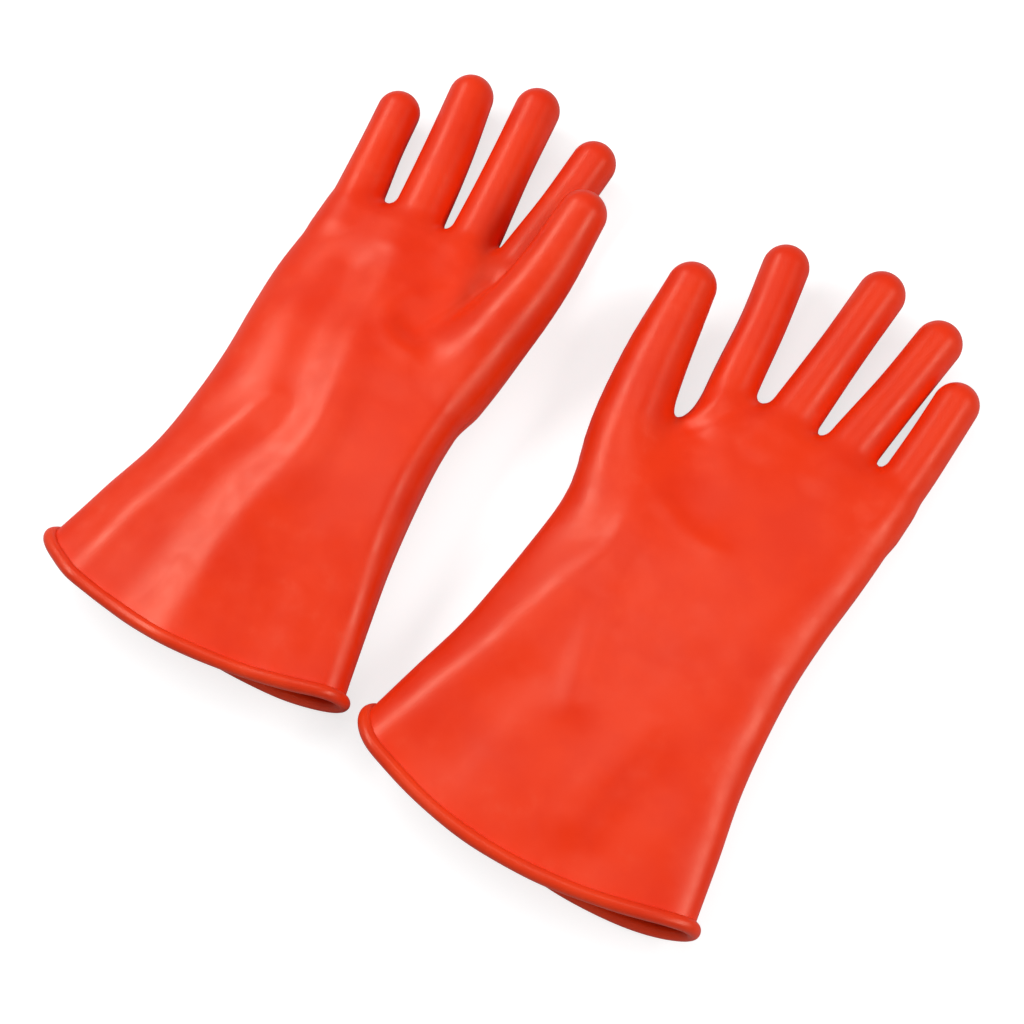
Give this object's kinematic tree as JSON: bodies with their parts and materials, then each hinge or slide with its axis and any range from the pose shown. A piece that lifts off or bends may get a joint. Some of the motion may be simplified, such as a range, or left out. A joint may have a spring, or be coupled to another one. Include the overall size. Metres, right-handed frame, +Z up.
{
  "type": "electrical insulating gloves",
  "caption": "Pair of long-cuff moulded rubber electrical insulating gloves lying palm up, with flared gauntlets, rolled cuff beads and flexing wrists, knuckles, fingers and thumbs.",
  "frame": {"origin": "middle of the pair's bounding box, on the surface the gloves rest on", "axes": "+X from the right glove to the left glove, +Y from the cuffs to the fingertips, +Z up, palms up"},
  "size_m": [0.3818, 0.3845, 0.0656],
  "materials": {
    "glove_rubber": "satin moulded rubber",
    "cuff_rubber": "satin rolled rubber"
  },
  "bodies": {
    "right_sleeve": {"right_cuff_bead": "cuff_rubber", "right_gauntlet": "glove_rubber", "right_wrist_flex_zone": "glove_rubber"},
    "right_palm": {"right_hand": "glove_rubber", "right_little_knuckle_flex_zone": "glove_rubber", "right_ring_knuckle_flex_zone": "glove_rubber", "right_middle_knuckle_flex_zone": "glove_rubber", "right_index_knuckle_flex_zone": "glove_rubber", "right_thumb_knuckle_flex_zone": "glove_rubber"},
    "right_little_base": {"right_little_base": "glove_rubber", "right_little_middle_flex_zone": "glove_rubber"},
    "right_little_tip": {"right_little_tip": "glove_rubber"},
    "right_ring_base": {"right_ring_base": "glove_rubber", "right_ring_middle_flex_zone": "glove_rubber"},
    "right_ring_tip": {"right_ring_tip": "glove_rubber"},
    "right_middle_base": {"right_middle_base": "glove_rubber", "right_middle_middle_flex_zone": "glove_rubber"},
    "right_middle_tip": {"right_middle_tip": "glove_rubber"},
    "right_index_base": {"right_index_base": "glove_rubber", "right_index_middle_flex_zone": "glove_rubber"},
    "right_index_tip": {"right_index_tip": "glove_rubber"},
    "right_thumb_base": {"right_thumb_base": "glove_rubber", "right_thumb_middle_flex_zone": "glove_rubber"},
    "right_thumb_tip": {"right_thumb_tip": "glove_rubber"},
    "left_sleeve": {"left_cuff_bead": "cuff_rubber", "left_gauntlet": "glove_rubber", "left_wrist_flex_zone": "glove_rubber"},
    "left_palm": {"left_hand": "glove_rubber", "left_little_knuckle_flex_zone": "glove_rubber", "left_ring_knuckle_flex_zone": "glove_rubber", "left_middle_knuckle_flex_zone": "glove_rubber", "left_index_knuckle_flex_zone": "glove_rubber", "left_thumb_knuckle_flex_zone": "glove_rubber"},
    "left_little_base": {"left_little_base": "glove_rubber", "left_little_middle_flex_zone": "glove_rubber"},
    "left_little_tip": {"left_little_tip": "glove_rubber"},
    "left_ring_base": {"left_ring_base": "glove_rubber", "left_ring_middle_flex_zone": "glove_rubber"},
    "left_ring_tip": {"left_ring_tip": "glove_rubber"},
    "left_middle_base": {"left_middle_base": "glove_rubber", "left_middle_middle_flex_zone": "glove_rubber"},
    "left_middle_tip": {"left_middle_tip": "glove_rubber"},
    "left_index_base": {"left_index_base": "glove_rubber", "left_index_middle_flex_zone": "glove_rubber"},
    "left_index_tip": {"left_index_tip": "glove_rubber"},
    "left_thumb_base": {"left_thumb_base": "glove_rubber", "left_thumb_middle_flex_zone": "glove_rubber"},
    "left_thumb_tip": {"left_thumb_tip": "glove_rubber"}
  },
  "joints": [
    {"name": "right_wrist_bend", "type": "hinge", "parent": "right_sleeve", "child": "right_palm", "pos_m": [-0.10709, -0.03349, 0.0265], "axis": [0.9993, 0.0384, 0], "range_deg": [-30, 30], "stiffness_Nm_per_rad": 4, "deforming": ["right_wrist_flex_zone"]},
    {"name": "right_little_knuckle_curl", "type": "hinge", "parent": "right_palm", "child": "right_little_base", "pos_m": [-0.17112, 0.09807, 0.01579], "axis": [0.985, 0.1727, 0], "range_deg": [-10, 60], "stiffness_Nm_per_rad": 0.3, "deforming": ["right_little_knuckle_flex_zone"]},
    {"name": "right_little_middle_curl", "type": "hinge", "parent": "right_little_base", "child": "right_little_tip", "pos_m": [-0.17572, 0.12433, 0.01651], "axis": [0.985, 0.1727, 0], "range_deg": [0, 60], "stiffness_Nm_per_rad": 0.15, "deforming": ["right_little_middle_flex_zone"]},
    {"name": "right_ring_knuckle_curl", "type": "hinge", "parent": "right_palm", "child": "right_ring_base", "pos_m": [-0.13708, 0.10663, 0.01645], "axis": [0.9842, 0.1772, 0], "range_deg": [-10, 60], "stiffness_Nm_per_rad": 0.3, "deforming": ["right_ring_knuckle_flex_zone"]},
    {"name": "right_ring_middle_curl", "type": "hinge", "parent": "right_ring_base", "child": "right_ring_tip", "pos_m": [-0.14392, 0.14466, 0.01799], "axis": [0.9842, 0.1772, 0], "range_deg": [0, 60], "stiffness_Nm_per_rad": 0.15, "deforming": ["right_ring_middle_flex_zone"]},
    {"name": "right_middle_knuckle_curl", "type": "hinge", "parent": "right_palm", "child": "right_middle_base", "pos_m": [-0.10247, 0.11117, 0.01664], "axis": [0.9909, 0.1349, 0], "range_deg": [-10, 60], "stiffness_Nm_per_rad": 0.3, "deforming": ["right_middle_knuckle_flex_zone"]},
    {"name": "right_middle_middle_curl", "type": "hinge", "parent": "right_middle_base", "child": "right_middle_tip", "pos_m": [-0.10813, 0.15276, 0.01838], "axis": [0.9909, 0.1349, 0], "range_deg": [0, 60], "stiffness_Nm_per_rad": 0.15, "deforming": ["right_middle_middle_flex_zone"]},
    {"name": "right_index_knuckle_curl", "type": "hinge", "parent": "right_palm", "child": "right_index_base", "pos_m": [-0.06918, 0.10973, 0.01639], "axis": [0.9997, -0.0264, 0], "range_deg": [-10, 60], "stiffness_Nm_per_rad": 0.3, "deforming": ["right_index_knuckle_flex_zone"]},
    {"name": "right_index_middle_curl", "type": "hinge", "parent": "right_index_base", "child": "right_index_tip", "pos_m": [-0.06829, 0.14336, 0.01766], "axis": [0.9997, -0.0264, 0], "range_deg": [0, 60], "stiffness_Nm_per_rad": 0.15, "deforming": ["right_index_middle_flex_zone"]},
    {"name": "right_thumb_root_swing", "type": "hinge", "parent": "right_palm", "child": "right_thumb_base", "pos_m": [-0.04807, 0.08019, 0.04212], "axis": [-0.6815, 0.2665, -0.6816], "range_deg": [-20, 20], "stiffness_Nm_per_rad": 0.3, "deforming": ["right_thumb_knuckle_flex_zone"]},
    {"name": "right_thumb_middle_curl", "type": "hinge", "parent": "right_thumb_base", "child": "right_thumb_tip", "pos_m": [-0.04554, 0.10254, 0.04833], "axis": [-0.6815, 0.2665, -0.6816], "range_deg": [-40, 5], "stiffness_Nm_per_rad": 0.15, "deforming": ["right_thumb_middle_flex_zone"]},
    {"name": "left_glove_lift", "type": "slide", "parent": "right_sleeve", "child": "left_sleeve", "axis": [0, 0, 1], "range_m": [0, 0.15]},
    {"name": "left_wrist_bend", "type": "hinge", "parent": "left_sleeve", "child": "left_palm", "pos_m": [0.09485, -0.04137, 0.0205], "axis": [0.9993, -0.0384, 0], "range_deg": [-30, 30], "stiffness_Nm_per_rad": 4, "deforming": ["left_wrist_flex_zone"]},
    {"name": "left_little_knuckle_curl", "type": "hinge", "parent": "left_palm", "child": "left_little_base", "pos_m": [0.16402, 0.0876, 0.01574], "axis": [0.9986, -0.0524, 0], "range_deg": [-10, 60], "stiffness_Nm_per_rad": 0.3, "deforming": ["left_little_knuckle_flex_zone"]},
    {"name": "left_little_middle_curl", "type": "hinge", "parent": "left_little_base", "child": "left_little_tip", "pos_m": [0.16542, 0.11421, 0.01649], "axis": [0.9986, -0.0524, 0], "range_deg": [0, 60], "stiffness_Nm_per_rad": 0.15, "deforming": ["left_little_middle_flex_zone"]},
    {"name": "left_ring_knuckle_curl", "type": "hinge", "parent": "left_palm", "child": "left_ring_base", "pos_m": [0.13415, 0.09509, 0.01636], "axis": [0.9907, -0.1361, 0], "range_deg": [-10, 60], "stiffness_Nm_per_rad": 0.3, "deforming": ["left_ring_knuckle_flex_zone"]},
    {"name": "left_ring_middle_curl", "type": "hinge", "parent": "left_ring_base", "child": "left_ring_tip", "pos_m": [0.13941, 0.13336, 0.01796], "axis": [0.9907, -0.1361, 0], "range_deg": [0, 60], "stiffness_Nm_per_rad": 0.15, "deforming": ["left_ring_middle_flex_zone"]},
    {"name": "left_middle_knuckle_curl", "type": "hinge", "parent": "left_palm", "child": "left_middle_base", "pos_m": [0.09933, 0.10067, 0.01657], "axis": [0.9975, -0.0713, 0], "range_deg": [-10, 60], "stiffness_Nm_per_rad": 0.3, "deforming": ["left_middle_knuckle_flex_zone"]},
    {"name": "left_middle_middle_curl", "type": "hinge", "parent": "left_middle_base", "child": "left_middle_tip", "pos_m": [0.10232, 0.14252, 0.01835], "axis": [0.9975, -0.0713, 0], "range_deg": [0, 60], "stiffness_Nm_per_rad": 0.15, "deforming": ["left_middle_middle_flex_zone"]},
    {"name": "left_index_knuckle_curl", "type": "hinge", "parent": "left_palm", "child": "left_index_base", "pos_m": [0.06085, 0.10442, 0.01646], "axis": [0.991, 0.1341, 0], "range_deg": [-10, 60], "stiffness_Nm_per_rad": 0.3, "deforming": ["left_index_knuckle_flex_zone"]},
    {"name": "left_index_middle_curl", "type": "hinge", "parent": "left_index_base", "child": "left_index_tip", "pos_m": [0.05634, 0.13776, 0.01769], "axis": [0.991, 0.1341, 0], "range_deg": [0, 60], "stiffness_Nm_per_rad": 0.15, "deforming": ["left_index_middle_flex_zone"]},
    {"name": "left_thumb_root_swing", "type": "hinge", "parent": "left_palm", "child": "left_thumb_base", "pos_m": [0.02706, 0.08166, 0.02591], "axis": [-0.6778, -0.2145, 0.7032], "range_deg": [-30, 15], "stiffness_Nm_per_rad": 0.3, "deforming": ["left_thumb_knuckle_flex_zone"]},
    {"name": "left_thumb_middle_curl", "type": "hinge", "parent": "left_thumb_base", "child": "left_thumb_tip", "pos_m": [0.0224, 0.10439, 0.02836], "axis": [-0.6778, -0.2145, 0.7032], "range_deg": [-40, 5], "stiffness_Nm_per_rad": 0.15, "deforming": ["left_thumb_middle_flex_zone"]}
  ]
}
